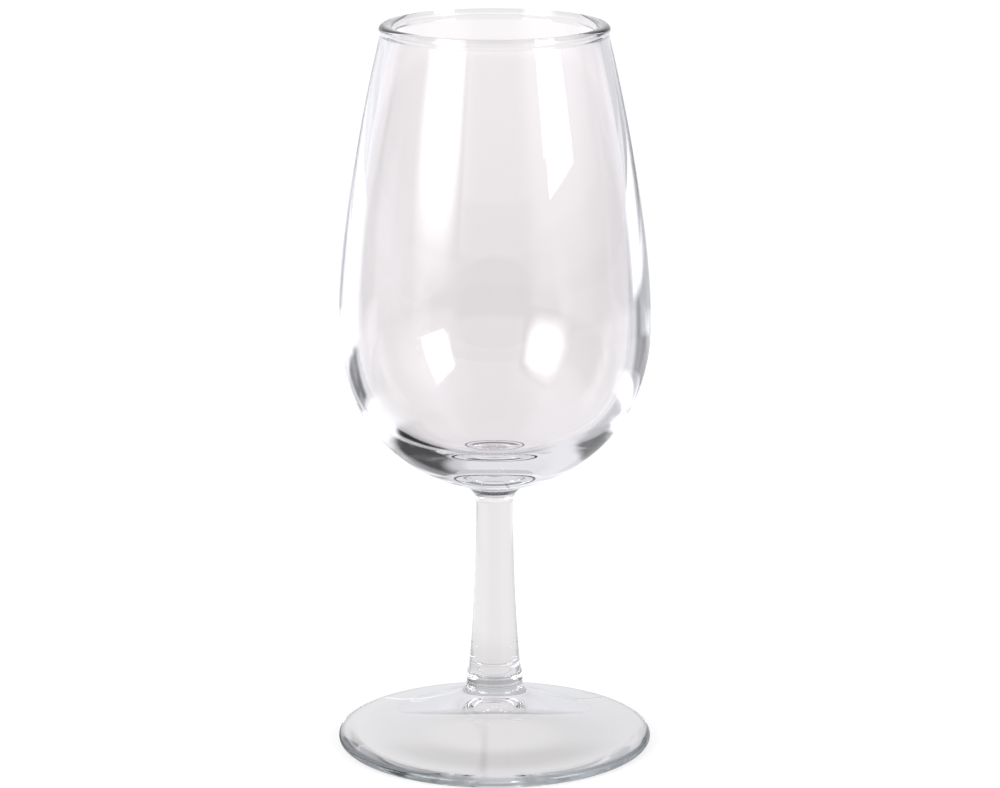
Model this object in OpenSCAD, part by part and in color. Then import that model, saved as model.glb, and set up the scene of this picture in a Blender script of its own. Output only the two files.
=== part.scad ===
// Port glass in clear glass: a blown bowl, a drawn stem and a pressed foot, fused end to end.
// It stands on the plane z = 0, centred on the Z axis. Lengths are in millimetres.

/* [Heights] */
// Top of the rim above the table
rim_h = 155; // [152:0.5:160]
// Widest ring of the bowl above the table
belly_h = 92.3; // [90:0.1:94]
// Widest ring of the hollow above the table
hollow_h = 95; // [93:0.1:97]
// Fused joint of bowl and stem above the table
bowl_joint_h = 57.1; // [55:0.1:59]
// Fused joint of stem and foot above the table
foot_joint_h = 15.6; // [14.8:0.1:17]

/* [Bowl] */
// Diameter at the widest ring
belly_d = 65.8; // [63:0.1:68]
// Diameter over the bead of the rim
rim_d = 48; // [45:0.1:50]
// Height of the rounded bead
bead_h = 2.1; // [1.9:0.1:2.5]
// How far the bead stands out from the wall, which it ends flush with inside
bead_proud = 0.6; // [0.4:0.1:0.8]
// Level thickness of the wall under the bead
rim_wall = 2.3; // [1.9:0.1:2.6]
// Wall thickness at the widest ring
belly_wall = 3.7; // [3:0.1:4.4]
// Glass under the hollow, measured on the axis
base_t = 6.7; // [5.8:0.1:8]
// Inward lean of the wall at the rim, in degrees from upright
rim_lean = 13.8; // [11:0.1:16]
// Inward lean of the hollow at the rim, in degrees from upright
hollow_lean = 13.4; // [11:0.1:15]
// Rise of the underside where it leaves the stem, in degrees from level
base_rise = 16.3; // [13:0.1:20]

/* [Bowl curves] */
// Handle of the underside at the stem, as a share of the belly radius
base_fullness = 0.41; // [0.35:0.01:0.47]
// Handle of the underside at the belly, as a share of its height
belly_fullness = 0.6; // [0.5:0.01:0.7]
// Handles of the upper wall at its two ends, as a share of its height
wall_fullness = 0.28; // [0.2:0.01:0.35]
// Handles of the hollow above its widest ring, as a share of the height there
shoulder_fullness = 0.32; // [0.25:0.01:0.38]
// Handle of the hollow under its widest ring, as a share of the depth below it
hollow_fullness = 0.58; // [0.5:0.01:0.65]
// Handle of the hollow at its floor, as a share of its radius
floor_fullness = 0.82; // [0.72:0.01:0.87]

/* [Stem] */
// Diameter at the joint with the bowl
stem_top_d = 14.8; // [13:0.1:16]
// Narrowest diameter, under the flare
stem_neck_d = 7.8; // [7:0.1:8.6]
// Diameter at the joint with the foot
stem_base_d = 11.3; // [10.5:0.1:11.6]
// Height of the flare that spreads under the bowl
flare_h = 4.2; // [3.4:0.1:5]
// Spread of the stem at its base, in degrees from upright
stem_spread = 8; // [4:0.5:12]

/* [Foot] */
// Diameter of the disc
foot_d = 67; // [62:0.1:72]
// Thickness of the rounded edge
edge_t = 2.2; // [1.6:0.1:2.8]
// Slope of the top at the edge, in degrees from level
edge_slope = 13; // [8:0.5:16]
// Diameter of the boss that takes the stem
boss_d = 12; // [11.8:0.1:13]
// Height at which the boss spreads out into the disc
boss_h = 12.4; // [11.5:0.1:13.2]
// Width of the flat ring that stands on the table
bearing_w = 3; // [2:0.1:5]
// Height of the domed underside at the middle
kick_h = 8; // [6:0.1:9]
// Slope of the underside at the ring, in degrees from level
kick_slope = 11; // [8:0.5:13]

/* [Hidden] */
$fn = 96;
curve_steps = 18;
arc_step = 10;
glass_colour = [0.86, 0.9, 0.91, 0.45];

// Bowl
belly_r = belly_d / 2;
bead_half = [(bead_proud + rim_wall) / 2, bead_h / 2];
bead_centre = [rim_d / 2, rim_h] - bead_half;
wall_top = [rim_d / 2 - bead_proud, bead_centre.y];
wall_handle = wall_fullness * (wall_top.y - belly_h);
hollow_top = wall_top - [rim_wall, 0];
hollow_r = belly_r - belly_wall;
floor_h = bowl_joint_h + base_t;
shoulder_handle = shoulder_fullness * (hollow_top.y - hollow_h);

// Stem
stem_top = [stem_top_d / 2, bowl_joint_h];
stem_neck = [stem_neck_d / 2, bowl_joint_h - flare_h];
stem_base = [stem_base_d / 2, foot_joint_h];
stem_l = stem_neck.y - stem_base.y;
neck_handle = 0.4 * stem_l;
base_handle = 0.17 * stem_l;
flare_handle = 0.48 * flare_h;
joint_handle = 0.37 * flare_h;

// Foot
edge_r = edge_t / 2;
edge_centre = [foot_d / 2 - edge_r, edge_r];
edge_top = edge_centre + edge_r * [sin(edge_slope), cos(edge_slope)];
boss_foot = [boss_d / 2, boss_h];
skirt_handle = 0.55 * (edge_top.x - boss_foot.x);
boss_handle = 0.27 * (boss_foot.y - edge_top.y);
bearing_in = edge_centre.x - bearing_w;
crown_handle = 0.16 * bearing_in;
kick_handle = 0.45 * bearing_in;

// Point at t on the cubic curve from a to d with handle points b and c
function on_curve(a, b, c, d, t) =
    pow(1 - t, 3) * a + 3 * t * pow(1 - t, 2) * b + 3 * t * t * (1 - t) * c + pow(t, 3) * d;

// Points along that curve, without its end, which starts the next one
function curve(a, b, c, d) =
    [for (i = [0 : curve_steps - 1]) on_curve(a, b, c, d, i / curve_steps)];

// Points along an arc with the half width and half height in half
function arc(centre, half, from, to) =
    [for (a = [from : arc_step : to]) centre + [half.x * cos(a), half.y * sin(a)]];

// A length laid off at an angle from level
function toward(length, angle) = length * [cos(angle), sin(angle)];

// Outside of the bowl, from the joint up to the bead
function bowl_outside() = concat(
    curve(stem_top, stem_top + toward(base_fullness * belly_r, base_rise),
        [belly_r, belly_h - belly_fullness * (belly_h - bowl_joint_h)], [belly_r, belly_h]),
    curve([belly_r, belly_h], [belly_r, belly_h + wall_handle],
        wall_top + toward(wall_handle, rim_lean - 90), wall_top),
    [wall_top]);

// Inside of the bowl, from the bead down to the middle of its floor
function bowl_inside() = concat(
    curve(hollow_top, hollow_top + toward(shoulder_handle, hollow_lean - 90),
        [hollow_r, hollow_h + shoulder_handle], [hollow_r, hollow_h]),
    curve([hollow_r, hollow_h], [hollow_r, hollow_h - hollow_fullness * (hollow_h - floor_h)],
        [floor_fullness * hollow_r, floor_h], [0, floor_h]),
    [[0, floor_h]]);

// Blown shell that thickens downwards to a solid base, with a rounded bead along the rim
module bowl() color(glass_colour) rotate_extrude() {
    polygon(concat([[0, bowl_joint_h]], bowl_outside(), bowl_inside()));
    polygon(arc(bead_centre, bead_half, 0, 360 - arc_step));
}

// Solid rod that thickens downwards and flares out under the bowl
module stem() color(glass_colour) rotate_extrude() polygon(concat(
    [[0, foot_joint_h]],
    curve(stem_base, stem_base + toward(base_handle, 90 + stem_spread),
        stem_neck - [0, neck_handle], stem_neck),
    curve(stem_neck, stem_neck + [0, flare_handle],
        stem_top - toward(joint_handle, base_rise), stem_top),
    [stem_top, [0, bowl_joint_h]]));

// Disc with a conical top, a boss for the stem, a rounded edge and a domed underside
module foot() color(glass_colour) rotate_extrude() polygon(concat(
    curve([0, kick_h], [crown_handle, kick_h],
        [bearing_in, 0] + toward(kick_handle, 180 - kick_slope), [bearing_in, 0]),
    [[bearing_in, 0]],
    arc(edge_centre, [edge_r, edge_r], -90, 60),
    curve(edge_top, edge_top + toward(skirt_handle, 180 - edge_slope),
        boss_foot - [0, boss_handle], boss_foot),
    curve(boss_foot, (boss_foot + [boss_foot.x, foot_joint_h]) / 2,
        [boss_foot.x, foot_joint_h], stem_base),
    [stem_base, [0, foot_joint_h]]));

bowl();
stem();
foot();
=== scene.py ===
import math

import bpy
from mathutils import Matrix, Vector


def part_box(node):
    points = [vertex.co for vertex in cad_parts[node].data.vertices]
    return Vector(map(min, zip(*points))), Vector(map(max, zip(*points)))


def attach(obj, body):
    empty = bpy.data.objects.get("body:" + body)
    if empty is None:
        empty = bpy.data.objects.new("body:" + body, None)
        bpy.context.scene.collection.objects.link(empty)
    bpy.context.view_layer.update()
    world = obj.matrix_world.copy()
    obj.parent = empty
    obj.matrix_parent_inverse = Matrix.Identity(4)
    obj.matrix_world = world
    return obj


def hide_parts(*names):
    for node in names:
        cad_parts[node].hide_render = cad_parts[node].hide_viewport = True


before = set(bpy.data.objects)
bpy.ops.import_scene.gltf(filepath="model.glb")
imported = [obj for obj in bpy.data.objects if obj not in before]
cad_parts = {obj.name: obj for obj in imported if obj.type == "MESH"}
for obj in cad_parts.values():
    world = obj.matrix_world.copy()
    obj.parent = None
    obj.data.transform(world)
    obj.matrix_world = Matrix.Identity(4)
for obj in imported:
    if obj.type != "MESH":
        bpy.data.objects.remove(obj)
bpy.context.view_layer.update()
print("frame loaded with", ", ".join(sorted(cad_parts)))

mm = 0.001


# an output socket; Python operators on it add Math nodes
class Wire:
    def __init__(self, graph, socket):
        self.graph = graph
        self.socket = socket

    def of(self, name):  # another output of the same node
        return Wire(self.graph, self.socket.node.outputs[name])

    def __add__(self, other):
        return self.graph.math("ADD", self, other)

    def __sub__(self, other):
        return self.graph.math("SUBTRACT", self, other)

    def __mul__(self, other):
        return self.graph.math("MULTIPLY", self, other)

    def __truediv__(self, other):
        return self.graph.math("DIVIDE", self, other)

    def __rsub__(self, other):
        return self.graph.math("SUBTRACT", other, self)

    def __pow__(self, other):
        return self.graph.math("POWER", self, other)

    __radd__ = __add__
    __rmul__ = __mul__


# one node tree: a material, the world or a geometry group
class Graph:
    def __init__(self, tree):
        self.tree = tree
        tree.nodes.clear()

    def add(self, kind, settings=None, inputs=None):
        node = self.tree.nodes.new(kind)
        for name, value in (settings or {}).items():
            setattr(node, name, value)
        for name, value in (inputs or {}).items():
            if isinstance(value, Wire):
                self.tree.links.new(value.socket, node.inputs[name])
            else:
                node.inputs[name].default_value = value
        return Wire(self, node.outputs[0]) if node.outputs else None

    def math(self, operation, *values):
        return self.add("ShaderNodeMath", {"operation": operation}, dict(enumerate(values)))

    def smooth(self, value, low, high):  # 0 below low, 1 above high, eased between
        return self.add("ShaderNodeMapRange", {"interpolation_type": "SMOOTHSTEP"},
                        {"Value": value, "From Min": low, "From Max": high})

    def band(self, value, low, high, soft):  # 1 between low and high, with soft ends
        fall = self.smooth(value, high - soft, high + soft)
        return self.smooth(value, low - soft, low + soft) * (1 - fall)

    def mirrored(self, ray):  # 1 for light that the glass mirrors, 0 where it only passes through
        return self.math("GREATER_THAN", ray.of("Glossy Depth"), 0.5)

    def mixed(self, ray, mirrors):  # 1 for light that has passed a fused joint and was mirrored so often
        joined = self.math("GREATER_THAN", ray.of("Transparent Depth"), 0.5)
        return joined * self.math("GREATER_THAN", ray.of("Glossy Depth"), mirrors - 0.5)

    def grey(self, value):
        return self.add("ShaderNodeCombineXYZ", None, {"X": value, "Y": value, "Z": value})


# Outlines: lists of cubic pieces (start, handle, handle, end) in radius and height

def toward(length, degrees):
    a = math.radians(degrees)
    return Vector((length * math.cos(a), length * math.sin(a)))


def straight(a, b):
    return (a, None, None, b)


def quarter(a, corner, b, bulge=0.5523):  # a quarter circle from a to b inside their corner
    return (a, a.lerp(corner, bulge), b.lerp(corner, bulge), b)


bowlLow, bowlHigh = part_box("bowl")
stemLow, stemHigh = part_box("stem")
_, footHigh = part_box("foot")

bowlCup = {
    "beadHeight": 2.1 * mm,
    "beadProud": 0.6 * mm,
    "rimRadius": 24.0 * mm,
    "rimLean": 13.8,             # degrees from upright
    "rimWall": 2.3 * mm,         # level
    "hollowLean": 13.4,
    "bellyHeight": 92.3 * mm,
    "hollowHeight": 95.0 * mm,
    "bellyWall": 3.7 * mm,
    "baseThickness": 6.7 * mm,
    "baseRise": 16.3,            # degrees from level
    "baseFullness": 0.41,
    "bellyFullness": 0.6,
    "wallFullness": 0.28,
    "shoulderFullness": 0.32,
    "hollowFullness": 0.58,
    "floorFullness": 0.82,
    "beadRun": 1.3 * mm,         # how far below the bead the wall starts to swell
    "swellHandle": 0.5,          # of the swell at the wall and at the bead, in half bead heights
    "beadHandle": 0.6,
    "rowsPerCurve": 22,
}

stemRod = {
    "topRadius": 7.4 * mm,
    "neckRadius": 3.9 * mm,
    "baseRadius": 5.65 * mm,
    "flareHeight": 4.2 * mm,
    "flareHandle": 0.48,
    "jointHandle": 0.37,
    "spread": 8.0,               # degrees from upright at the base
    "neckHandle": 0.4,
    "baseHandle": 0.17,
    "rowsPerCurve": 72,
    "jointGap": 0.002 * mm,      # keeps the fused faces apart
}

footDisc = {
    "edgeThickness": 2.2 * mm,
    "edgeSlope": 13.0,           # degrees from level
    "edgeHandles": (0.5, 0.45),  # of the edge's upper half, in half thicknesses
    "bossRadius": 6.0 * mm,
    "bossHeight": 12.4 * mm,
    "bearingWidth": 3.0 * mm,
    "kickHeight": 8.0 * mm,
    "kickSlope": 11.0,
    "kickRim": 0.45,
    "kickCrown": 0.16,
    "skirtHandle": 0.55,
    "bossHandle": 0.27,
    "rowsPerCurve": 30,
}

turning = {
    "sectors": 256,
    "weld": 0.5e-6,
    "crease": 35.0,              # degrees, sharper edges stay sharp
}


def bowlOutline(s):
    bellyRadius = bowlHigh.x
    jointHeight = bowlLow.z
    rimHeight = bowlHigh.z
    bead = s["beadHeight"] / 2
    beadReach = (s["beadProud"] + s["rimWall"]) / 2
    centre = Vector((s["rimRadius"] - beadReach, rimHeight - bead))
    down = toward(1, s["rimLean"] - 90)
    wallTop = Vector((s["rimRadius"] - s["beadProud"], centre.y))
    hollowTop = wallTop - Vector((s["rimWall"], 0))
    hollowDown = toward(1, s["hollowLean"] - 90)
    wallHandle = s["wallFullness"] * (wallTop.y - s["bellyHeight"])
    wallEnd = wallTop + down * s["beadRun"]
    hollowEnd = hollowTop + hollowDown * s["beadRun"]
    hollowRadius = bellyRadius - s["bellyWall"]
    floorHeight = jointHeight + s["baseThickness"]
    stemTop = Vector((stemRod["topRadius"], jointHeight))
    belly = Vector((bellyRadius, s["bellyHeight"]))
    hollow = Vector((hollowRadius, s["hollowHeight"]))
    up = Vector((0, 1))
    shortHandle = wallHandle - s["beadRun"]
    shoulder = s["shoulderFullness"] * (hollowTop.y - s["hollowHeight"])
    beadOut = centre + Vector((beadReach, 0))
    beadTop = centre + Vector((0, bead))
    beadIn = centre - Vector((beadReach, 0))
    swell = s["swellHandle"] * bead
    rise = up * s["beadHandle"] * bead
    return [
        straight(Vector((0, jointHeight)), stemTop),
        (stemTop, stemTop + toward(s["baseFullness"] * bellyRadius, s["baseRise"]),
         belly - up * s["bellyFullness"] * (belly.y - jointHeight), belly),
        (belly, belly + up * wallHandle, wallEnd + down * shortHandle, wallEnd),
        (wallEnd, wallEnd - down * swell, beadOut - rise, beadOut),
        quarter(beadOut, centre + Vector((beadReach, bead)), beadTop),
        quarter(beadTop, centre + Vector((-beadReach, bead)), beadIn),
        (beadIn, beadIn - rise, hollowEnd - hollowDown * swell, hollowEnd),
        (hollowEnd, hollowEnd + hollowDown * (shoulder - s["beadRun"]), hollow + up * shoulder, hollow),
        (hollow, hollow - up * s["hollowFullness"] * (hollow.y - floorHeight),
         Vector((s["floorFullness"] * hollowRadius, floorHeight)), Vector((0, floorHeight))),
    ]


def stemOutline(s):
    base = Vector((s["baseRadius"], stemLow.z + s["jointGap"]))
    top = Vector((s["topRadius"], stemHigh.z - s["jointGap"]))
    neck = Vector((s["neckRadius"], stemHigh.z - s["flareHeight"]))
    length = neck.y - base.y
    up = Vector((0, 1))
    return [
        straight(Vector((0, base.y)), base),
        (base, base + toward(s["baseHandle"] * length, 90 + s["spread"]),
         neck - up * s["neckHandle"] * length, neck),
        (neck, neck + up * s["flareHandle"] * s["flareHeight"],
         top - toward(s["jointHandle"] * s["flareHeight"], bowlCup["baseRise"]), top),
        straight(top, Vector((0, top.y))),
    ]


def footOutline(s):
    edge = s["edgeThickness"] / 2
    centre = Vector((footHigh.x - edge, edge))
    slope = math.radians(s["edgeSlope"])
    lowHandle, topHandle = s["edgeHandles"]
    edgeTop = centre + edge * Vector((math.sin(slope), math.cos(slope)))
    edgeOut = Vector((footHigh.x, edge))
    bearingIn = centre.x - s["bearingWidth"]
    boss = Vector((s["bossRadius"], s["bossHeight"]))
    joint = Vector((stemRod["baseRadius"], footHigh.z))
    skirt = s["skirtHandle"] * (edgeTop.x - boss.x)
    drop = s["bossHandle"] * (boss.y - edgeTop.y)
    up = Vector((0, 1))
    corner = Vector((boss.x, joint.y))
    return [
        (Vector((0, s["kickHeight"])), Vector((s["kickCrown"] * bearingIn, s["kickHeight"])),
         Vector((bearingIn, 0)) + toward(s["kickRim"] * bearingIn, 180 - s["kickSlope"]),
         Vector((bearingIn, 0))),
        straight(Vector((bearingIn, 0)), Vector((centre.x, 0))),
        quarter(Vector((centre.x, 0)), Vector((footHigh.x, 0)), edgeOut),
        (edgeOut, edgeOut + up * lowHandle * edge,
         edgeTop - toward(topHandle * edge, 180 - s["edgeSlope"]), edgeTop),
        (edgeTop, edgeTop + toward(skirt, 180 - s["edgeSlope"]), boss - up * drop, boss),
        (boss, boss.lerp(corner, 0.5), corner, joint),
        straight(joint, Vector((0, joint.y))),
    ]


def outlineCurve(name, outline, rows):
    data = bpy.data.curves.new(name, "CURVE")
    data.dimensions = "3D"
    data.resolution_u = rows
    spline = data.splines.new("BEZIER")
    spline.bezier_points.add(len(outline))
    spline.resolution_u = rows
    for point, place in zip(spline.bezier_points, [outline[0][0]] + [p[3] for p in outline]):
        point.co = (place.x, 0, place.y)
        point.handle_left_type = "FREE"
        point.handle_right_type = "FREE"
        point.handle_left = point.co
        point.handle_right = point.co
    for i, (_, first, second, _) in enumerate(outline):
        a, b = spline.bezier_points[i], spline.bezier_points[i + 1]
        if first is None:
            a.handle_right_type = "VECTOR"
            b.handle_left_type = "VECTOR"
        else:
            a.handle_right = (first.x, 0, first.y)
            b.handle_left = (second.x, 0, second.y)
    piece = bpy.data.objects.new(name, data)
    bpy.context.scene.collection.objects.link(piece)
    return piece


# Geometry group that turns an outline once round the Z axis
def turningGroup():
    tree = bpy.data.node_groups.new("turnedGlass", "GeometryNodeTree")
    face = tree.interface
    face.new_socket("Geometry", in_out="OUTPUT", socket_type="NodeSocketGeometry")
    for name, kind in (("Outline", "Geometry"), ("Sectors", "Int"),
                       ("Weld", "Float"), ("Crease", "Float"),
                       ("Low joint", "Float"), ("High joint", "Float"),
                       ("Glass", "Material"), ("Fused joint", "Material")):
        face.new_socket(name, in_out="INPUT", socket_type="NodeSocket" + kind)
    g = Graph(tree)
    given = g.add("NodeGroupInput")
    outline = g.add("GeometryNodeResampleCurve", {"mode": "EVALUATED"}, {"Curve": given.of("Outline")})
    rows = g.add("GeometryNodeAttributeDomainSize", {"component": "CURVE"}, {"Geometry": outline})
    grid = g.add("GeometryNodeMeshGrid", None,
                 {"Size X": 1.0, "Size Y": 1.0,
                  "Vertices X": given.of("Sectors") + 1, "Vertices Y": rows})
    across = g.add("ShaderNodeSeparateXYZ", None, {"Vector": grid.of("UV Map")})
    row = g.math("ROUND", across.of("Y") * (rows - 1))
    place = g.add("GeometryNodeInputPosition")
    spot = g.add("GeometryNodeSampleIndex", {"data_type": "FLOAT_VECTOR"},
                 {"Geometry": outline, "Value": place, "Index": row})
    at = g.add("ShaderNodeSeparateXYZ", None, {"Vector": spot})
    turn = across.of("X") * math.tau
    turnedSpot = g.add("ShaderNodeCombineXYZ", None,
                       {"X": at.of("X") * g.math("COSINE", turn),
                        "Y": at.of("X") * g.math("SINE", turn), "Z": at.of("Z")})
    shell = g.add("GeometryNodeSetPosition", None, {"Geometry": grid.of("Mesh"), "Position": turnedSpot})
    shell = g.add("GeometryNodeMergeByDistance", None, {"Geometry": shell, "Distance": given.of("Weld")})
    shell = g.add("GeometryNodeSetShadeSmooth", None, {"Geometry": shell, "Shade Smooth": True})
    fold = g.add("GeometryNodeInputMeshEdgeAngle")
    sharp = g.add("FunctionNodeCompare", {"operation": "GREATER_THAN"},
                  {"A": fold, "B": given.of("Crease")})
    shell = g.add("GeometryNodeSetShadeSmooth", {"domain": "EDGE"},
                  {"Geometry": shell, "Selection": sharp, "Shade Smooth": False})
    shell = g.add("GeometryNodeSetMaterial", None, {"Geometry": shell, "Material": given.of("Glass")})
    height = g.add("ShaderNodeSeparateXYZ", None, {"Vector": place}).of("Z")
    for joint in ("Low joint", "High joint"):
        atJoint = g.add("FunctionNodeCompare", {"operation": "EQUAL"},
                        {"A": height, "B": given.of(joint), "Epsilon": turning["weld"]})
        shell = g.add("GeometryNodeSetMaterial", None,
                      {"Geometry": shell, "Selection": atJoint, "Material": given.of("Fused joint")})
    shell = g.add("GeometryNodeRealizeInstances", None, {"Geometry": shell})
    g.add("NodeGroupOutput", None, {"Geometry": shell})
    return tree


def turnedPiece(name, outline, rows, lowJoint, highJoint, group, glass, joint):
    curve = outlineCurve(name + "Outline", outline, rows)
    modifier = curve.modifiers.new("turn", "NODES")
    modifier.node_group = group
    values = {"Sectors": turning["sectors"], "Weld": turning["weld"],
              "Crease": math.radians(turning["crease"]),
              "Low joint": lowJoint, "High joint": highJoint, "Glass": glass, "Fused joint": joint}
    for item in group.interface.items_tree:
        if item.in_out == "INPUT" and item.name in values:
            modifier[item.identifier] = values[item.name]
    mesh = bpy.data.meshes.new_from_object(curve.evaluated_get(bpy.context.evaluated_depsgraph_get()))
    mesh.name = name
    outlineData = curve.data
    bpy.data.objects.remove(curve)
    bpy.data.curves.remove(outlineData)
    piece = bpy.data.objects.new(name, mesh)
    bpy.context.scene.collection.objects.link(piece)
    print("turned", name, len(mesh.vertices), "points", len(mesh.polygons), "faces")
    return piece


clearGlass = {
    "tint": (0.992, 0.970, 0.979, 1),
    "ior": 1.52,
    "waves": 70.0,               # per metre, slow waves of the blown wall
    "waveDepth": 0.006 * mm,
    "grain": 420.0,              # per metre, unevenness of the fire-polished skin
    "haze": (0.0, 0.012),        # its least and most roughness
    "flareShade": (55.4 * mm, 56.5 * mm, 0.15 * mm),  # painted shade: a dark band round the fused flare: low, high, softness
    "flareShadeTint": (0.03, 0.03, 0.033, 1),
    "edge": (31.7 * mm, 33.2 * mm),             # radii where the painted blue-grey shade on the foot's edge starts and is full
    # the painted shade stays below this height on the foot's edge
    "edgeTop": 3.0 * mm,
    "footEdgeShadeTint": (0.54, 0.57, 0.59, 1),
}


def clearGlassMaterial(s):
    material = bpy.data.materials.new("clearGlass")
    material.use_nodes = True
    g = Graph(material.node_tree)
    place = g.add("ShaderNodeTexCoord").of("Object")
    at = g.add("ShaderNodeSeparateXYZ", None, {"Vector": place})
    height = at.of("Z")
    reach = g.math("SQRT", at.of("X") ** 2 + at.of("Y") ** 2)
    waves = g.add("ShaderNodeTexNoise", None, {"Vector": place, "Scale": s["waves"], "Detail": 1.0})
    least, most = s["haze"]
    haze = g.add("ShaderNodeTexNoise", None, {"Vector": place, "Scale": s["grain"], "Detail": 3.0})
    uneven = g.add("ShaderNodeBump", None,
                   {"Height": waves, "Strength": 1.0, "Distance": s["waveDepth"]})
    # painted shade: a near-black band round the fused flare darkens the glass there
    flareShade = g.band(height, *s["flareShade"])
    # painted shade: the foot's edge is tinted dark blue-grey below edgeTop
    edge = g.smooth(reach, *s["edge"]) * g.math("LESS_THAN", height, s["edgeTop"])
    colour = g.add("ShaderNodeMix", {"data_type": "RGBA"},
                   {"Factor": edge, "A": s["tint"], "B": s["footEdgeShadeTint"]})
    colour = g.add("ShaderNodeMix", {"data_type": "RGBA"},
                   {"Factor": flareShade, "A": colour.of("Result"), "B": s["flareShadeTint"]})
    surface = g.add("ShaderNodeBsdfPrincipled", None, {
        "Base Color": colour.of("Result"), "Roughness": least + haze * (most - least), "IOR": s["ior"],
        "Transmission Weight": 1.0, "Normal": uneven})
    g.add("ShaderNodeOutputMaterial", None, {"Surface": surface})
    return material


fusedJoint = {
    "rim": 0.5 * mm,             # width of the painted shade line along the edge of the upper joint
    "rimShade": (0.4, 0.4, 0.41, 1),
}


def fusedJointMaterial(s):
    material = bpy.data.materials.new("fusedJoint")
    material.use_nodes = True
    g = Graph(material.node_tree)
    place = g.add("ShaderNodeSeparateXYZ", None, {"Vector": g.add("ShaderNodeTexCoord").of("Object")})
    reach = g.math("SQRT", place.of("X") ** 2 + place.of("Y") ** 2)
    # painted shade: a dark line along the edge of the upper fused joint
    rim = g.math("GREATER_THAN", reach, stemRod["topRadius"] - s["rim"])
    clear = g.add("ShaderNodeBsdfTransparent")
    line = g.add("ShaderNodeBsdfTransparent", None, {"Color": s["rimShade"]})
    surface = g.add("ShaderNodeMixShader", None, {0: rim, 1: clear, 2: line})
    g.add("ShaderNodeOutputMaterial", None, {"Surface": surface})
    return material


nowhere = -1.0  # a height that no face has
glass = clearGlassMaterial(clearGlass)
joint = fusedJointMaterial(fusedJoint)
turned = turningGroup()
bowl = turnedPiece("bowlGlass", bowlOutline(bowlCup), bowlCup["rowsPerCurve"],
                   bowlLow.z, nowhere, turned, glass, joint)
stem = turnedPiece("stemGlass", stemOutline(stemRod), stemRod["rowsPerCurve"],
                   stemLow.z + stemRod["jointGap"], stemHigh.z - stemRod["jointGap"],
                   turned, glass, joint)
foot = turnedPiece("footGlass", footOutline(footDisc), footDisc["rowsPerCurve"],
                   nowhere, footHigh.z, turned, glass, joint)
for piece, node in ((bowl, "bowl"), (stem, "stem"), (foot, "foot")):
    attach(piece, "root")
    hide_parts(node)

# Studio
view = {
    "distance": 806.6 * mm,
    "height": 272.8 * mm,
    "pitch": 13.693,             # degrees below level
    "lens": 141.5,               # millimetres
    "shift": 0.0054,             # of the picture's width
}

# Light that runs to and fro between the fused pieces comes out mixed to one level
mixing = {
    "mirrors": 5,                # at least
    "level": 0.8,
}

# Light panels on two sides, standing between two points of the floor plan. Soft is the width of the
# faded border in metres, and the higher corners is, the squarer they are.
softboxes = {
    "left": {"far": (-0.842, -0.380), "near": (-0.514, -0.836), "low": 0.15, "high": 0.80,
             "soft": 0.11, "corners": 3.0, "glow": 7.0},
    "right": {"far": (0.855, -0.345), "near": (0.705, -0.745), "low": 0.237, "high": 0.80,
              "soft": 0.004, "corners": 60.0, "glow": 7.0},
}

# What the glass mirrors around it. Each area has a range and a softness of the compass angle
# (0 is away from the camera, 90 is right) and of the height angle, all in degrees.
room = {
    "white": (1, 1, 1, 1),
    "shade": (0.97, 0.985, 1.02, 1),   # of what is mirrored
    "through": 0.92,             # for light that only passes through the glass
    "dim": 0.63,                 # mirrored outside the areas
    "areas": (
        {"around": (-62, 18, 5), "height": (-30, 58, 6), "level": 0.85},        # white paper behind
        {"around": (18, 80, 5), "height": (-30, 3, 3), "level": 0.75},
        {"around": (-46, -22, 5), "height": (-30, 0, 3), "level": 1.0},
        {"around": (54, 84, 5), "height": (-30, 4, 2), "level": 0.25},
        {"around": (29, 80, 6), "height": (3, 50, 3), "level": 0.08},           # dark card, right
        {"around": (-114, -62, 5), "height": (0, 22, 2), "level": 0.11},        # dark card, left
        {"around": (-160, -114, 8), "height": (3, 62, 5), "level": 1.0},        # white wall, left
        {"around": (-114, -60, 8), "height": (28, 62, 5), "level": 1.0},
        {"around": (88, 150, 5), "height": (6, 62, 5), "level": 1.0},           # white wall, right
        {"around": (148, 400, 6), "height": (-90, 3, 0.4), "level": 0.0},       # dark room in front
        {"around": (-400, -148, 6), "height": (-90, 3, 0.4), "level": 0.0},
        {"around": (80, 148, 4), "height": (-90, -1, 1), "level": 0.2},
    ),
}

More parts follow.
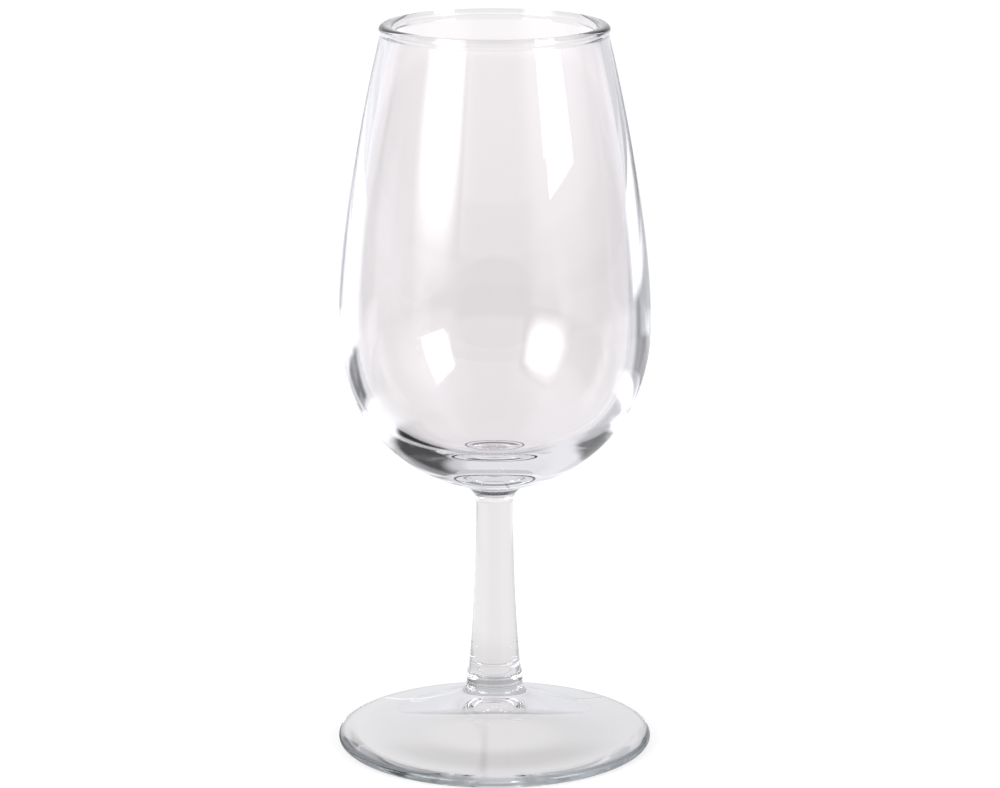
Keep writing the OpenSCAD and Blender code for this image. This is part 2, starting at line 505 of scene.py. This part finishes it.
# The sheet the glass stands on. Its areas are what the glass mirrors of it, by compass angle and by
# distance in metres: brighter by the lamps, and the two shadows of the glass with the light they gather.
sheet = {
    "colour": (0.88, 0.88, 0.88, 1),
    "white": (1, 1, 1, 1),
    "shade": (0.965, 0.985, 1.02, 1),  # of what is mirrored
    "leftEnd": -2.0,
    "rightEnd": 0.60,
    "front": -0.33,
    "back": 3.0,
    "drop": 0.05 * mm,           # below the foot
    "seenGlow": 1.05,            # beside the glass, as the camera sees it
    "under": 0.77,               # painted shade under the foot, seen through it
    "lean": -1.0,                # change of it per metre to the right
    "ring": (0.014, 0.025, 0.004),     # painted shadow, a darker ring under the foot: inside, outside, softness
    "ringShade": (0.045, 0.11),  # all round, and more in front
    "ringFront": (0.004, 0.016),
    "near": (0.036, 0.065),      # from under the foot to the open sheet
    "beside": 0.862,             # seen through the stem and the bowl
    "right": {"from": (3, 13), "shade": 0.06},     # darker to the sides, from these compass angles
    "left": {"from": (8, 18), "shade": 0.025},
    "sideReach": (0.15, 0.3),
    "far": (0.1, 1.0),           # lighter with the distance
    "farRise": 0.082,
    "horizon": (0.90, 1.03),     # seen through the mouth
    "horizonRise": 0.065,
    "shadowShare": 0.35,         # how much of the real shadow shows under the foot
    "mirror": 0.45,              # mirrored outside the areas
    "areas": (
        {"around": (-400, 400, 1), "reach": (0.038, 99, 0.012), "level": 0.85},  # open sheet
        {"around": (18, 150, 8), "reach": (0.38, 99, 0.02), "level": 0.76},
        {"around": (-54, 0, 5), "reach": (0.31, 0.95, 0.02), "level": 1.5},     # brighter by the lamps
        {"around": (0, 50, 6), "reach": (0.405, 0.86, 0.02), "level": 1.15},
        {"around": (24, 50, 4), "reach": (0.405, 0.86, 0.02), "level": 1.55},
        {"around": (20, 80, 6), "reach": (0.86, 99, 0.04), "level": 0.4},       # dimmer, right
        {"around": (50, 100, 6), "reach": (0.40, 99, 0.03), "level": 0.45},
        {"around": (-135, -84, 10), "reach": (0.10, 0.32, 0.02), "level": 1.2},
        {"around": (85, 140, 10), "reach": (0.10, 0.32, 0.02), "level": 1.0},
        {"around": (150, 400, 10), "reach": (-1, 0.33, 0.02), "level": 0.42},   # dimmer, in front
        {"around": (-400, -150, 10), "reach": (-1, 0.33, 0.02), "level": 0.42},
        {"around": (-105, -42, 6), "reach": (0.034, 0.085, 0.006), "level": 0.03},  # shadow, left
        {"around": (-95, -26, 5), "reach": (0.09, 0.165, 0.008), "level": 1.35},  # gathered light
        {"around": (-49, -26, 4), "reach": (0.182, 0.30, 0.01), "level": 0.08},
        {"around": (20, 58, 6), "reach": (0.075, 0.165, 0.01), "level": 0.6},   # shadow, right
        {"around": (18, 72, 6), "reach": (0.172, 0.242, 0.008), "level": 1.5},  # gathered light
        {"around": (6, 44, 5), "reach": (0.248, 0.385, 0.01), "level": 0.3},
    ),
}


def addCamera(s):
    data = bpy.data.cameras.new("photoView")
    data.lens = s["lens"]
    data.shift_x = s["shift"]
    camera = bpy.data.objects.new("photoView", data)
    camera.location = (0, -s["distance"], s["height"])
    camera.rotation_euler = (math.radians(90 - s["pitch"]), 0, 0)
    bpy.context.scene.collection.objects.link(camera)
    bpy.context.scene.camera = camera


def panelMaterial(name, width, height, s):
    material = bpy.data.materials.new(name)
    material.use_nodes = True
    g = Graph(material.node_tree)
    ray = g.add("ShaderNodeLightPath")
    place = g.add("ShaderNodeSeparateXYZ", None, {"Vector": g.add("ShaderNodeTexCoord").of("Object")})
    across = g.math("ABSOLUTE", place.of("X")) / (width / 2)
    along = g.math("ABSOLUTE", place.of("Y")) / (height / 2)
    outward = (across ** s["corners"] + along ** s["corners"]) ** (1 / s["corners"])
    fade = 2 * s["soft"] / (width / 2)
    lit = 1 - g.smooth(outward, 1 - fade, 1)
    shown = g.math("MAXIMUM", g.mirrored(ray), 1 - ray.of("Is Transmission Ray"))
    level = lit * shown
    level = level + g.mixed(ray, mixing["mirrors"]) * (mixing["level"] / s["glow"] - level)
    glow = g.add("ShaderNodeEmission", None, {"Color": g.grey(level), "Strength": s["glow"]})
    g.add("ShaderNodeOutputMaterial", None, {"Surface": glow})
    return material


def addSoftbox(name, s):
    far, near = Vector(s["far"]), Vector(s["near"])
    middle = (far + near) / 2
    width = (near - far).length + 2 * s["soft"]
    height = s["high"] - s["low"] + 2 * s["soft"]
    mesh = bpy.data.meshes.new(name + "Softbox")
    x, y = width / 2, height / 2
    mesh.from_pydata([(-x, -y, 0), (x, -y, 0), (x, y, 0), (-x, y, 0)], [], [(0, 1, 2, 3)])
    mesh.materials.append(panelMaterial(name + "Softbox", width, height, s))
    panel = bpy.data.objects.new(name + "Softbox", mesh)
    panel.location = (middle.x, middle.y, (s["low"] + s["high"]) / 2)
    panel.rotation_euler = (math.radians(90), 0, math.atan2(near.y - far.y, near.x - far.x))
    panel.visible_camera = False
    bpy.context.scene.collection.objects.link(panel)


def sheetMaterial(s):
    material = bpy.data.materials.new("paleSheet")
    material.use_nodes = True
    g = Graph(material.node_tree)
    ray = g.add("ShaderNodeLightPath")
    camera = ray.of("Is Camera Ray")
    inGlass = ray.of("Is Glossy Ray") + ray.of("Is Transmission Ray")
    seen = g.math("MINIMUM", camera + inGlass, 1)
    mirrored = g.mirrored(ray)
    place = g.add("ShaderNodeTexCoord").of("Object")
    reach = g.add("ShaderNodeVectorMath", {"operation": "LENGTH"}, {0: place}).of("Value")
    flat = g.add("ShaderNodeSeparateXYZ", None, {"Vector": place})
    around = g.math("DEGREES", g.math("ARCTAN2", flat.of("X"), flat.of("Y")))
    clear = g.smooth(reach, *s["near"])  # 0 under the foot, 1 outside it

    # painted shade seen through the foot: a darker sheet under it and a ring of painted shadow
    allRound, inFront = s["ringShade"]
    ring = g.band(reach, *s["ring"]) * (allRound + inFront * g.smooth(0 - flat.of("Y"), *s["ringFront"]))
    under = s["under"] + flat.of("X") * s["lean"] - ring
    side = g.smooth(around, *s["right"]["from"]) * s["right"]["shade"]
    side = side + g.smooth(0 - around, *s["left"]["from"]) * s["left"]["shade"]
    beside = s["beside"] - side * g.smooth(reach, *s["sideReach"])
    rise = g.smooth(reach, *s["far"]) * s["farRise"] + g.smooth(reach, *s["horizon"]) * s["horizonRise"]
    through = under + clear * (beside - under) + rise

    mirror = s["mirror"]
    for area in s["areas"]:
        inside = g.band(around, *area["around"]) * g.band(reach, *area["reach"])
        mirror = mirror + inside * (area["level"] - mirror)
    level = through + mirrored * (mirror - through)
    level = level + g.mixed(ray, mixing["mirrors"]) * (mixing["level"] - level)
    level = level + camera * (s["seenGlow"] - level)
    tint = g.add("ShaderNodeMix", {"data_type": "RGBA"},
                 {"Factor": mirrored, "A": s["white"], "B": s["shade"]})
    colour = g.add("ShaderNodeVectorMath", {"operation": "SCALE"},
                   {0: tint.of("Result"), "Scale": level})
    lit = g.add("ShaderNodeBsdfDiffuse", None, {"Color": s["colour"]})
    glow = g.add("ShaderNodeEmission", None, {"Color": colour, "Strength": 1.0})
    share = seen - camera * s["shadowShare"] * (1 - clear)
    surface = g.add("ShaderNodeMixShader", None, {0: share, 1: lit, 2: glow})
    g.add("ShaderNodeOutputMaterial", None, {"Surface": surface})
    return material


def addSheet(s):
    mesh = bpy.data.meshes.new("floor")
    left, right, front, back = s["leftEnd"], s["rightEnd"], s["front"], s["back"]
    corners = [(left, front), (right, front), (right, back), (left, back)]
    mesh.from_pydata([(x, y, -s["drop"]) for x, y in corners], [], [(0, 1, 2, 3)])
    mesh.materials.append(sheetMaterial(s))
    floor = bpy.data.objects.new("floor", mesh)
    bpy.context.scene.collection.objects.link(floor)


def addRoom(s):
    world = bpy.data.worlds.new("studio")
    world.use_nodes = True
    bpy.context.scene.world = world
    g = Graph(world.node_tree)
    ray = g.add("ShaderNodeLightPath")
    mirrored = g.mirrored(ray)
    way = g.add("ShaderNodeSeparateXYZ", None, {"Vector": g.add("ShaderNodeTexCoord").of("Generated")})
    around = g.math("DEGREES", g.math("ARCTAN2", way.of("X"), way.of("Y")))
    height = g.math("DEGREES", g.math("ARCSINE", way.of("Z")))
    mirror = s["dim"]
    for area in s["areas"]:
        inside = g.band(around, *area["around"]) * g.band(height, *area["height"])
        mirror = mirror + inside * (area["level"] - mirror)
    level = s["through"] + mirrored * (mirror - s["through"])
    level = level + g.mixed(ray, mixing["mirrors"]) * (mixing["level"] - level)
    level = level + ray.of("Is Camera Ray") * (1 - level)
    tint = g.add("ShaderNodeMix", {"data_type": "RGBA"},
                 {"Factor": mirrored, "A": s["white"], "B": s["shade"]})
    surface = g.add("ShaderNodeBackground", None, {"Color": tint.of("Result"), "Strength": level})
    g.add("ShaderNodeOutputWorld", None, {"Surface": surface})


bounces = 32  # enough for light that runs along inside the glass
addCamera(view)
for name, settings in softboxes.items():
    addSoftbox(name, settings)
addSheet(sheet)
addRoom(room)
scene = bpy.context.scene
scene.view_settings.view_transform = "Standard"
scene.cycles.max_bounces = bounces
scene.cycles.glossy_bounces = bounces
scene.cycles.transmission_bounces = bounces
scene.cycles.transparent_max_bounces = bounces
print("studio lit")
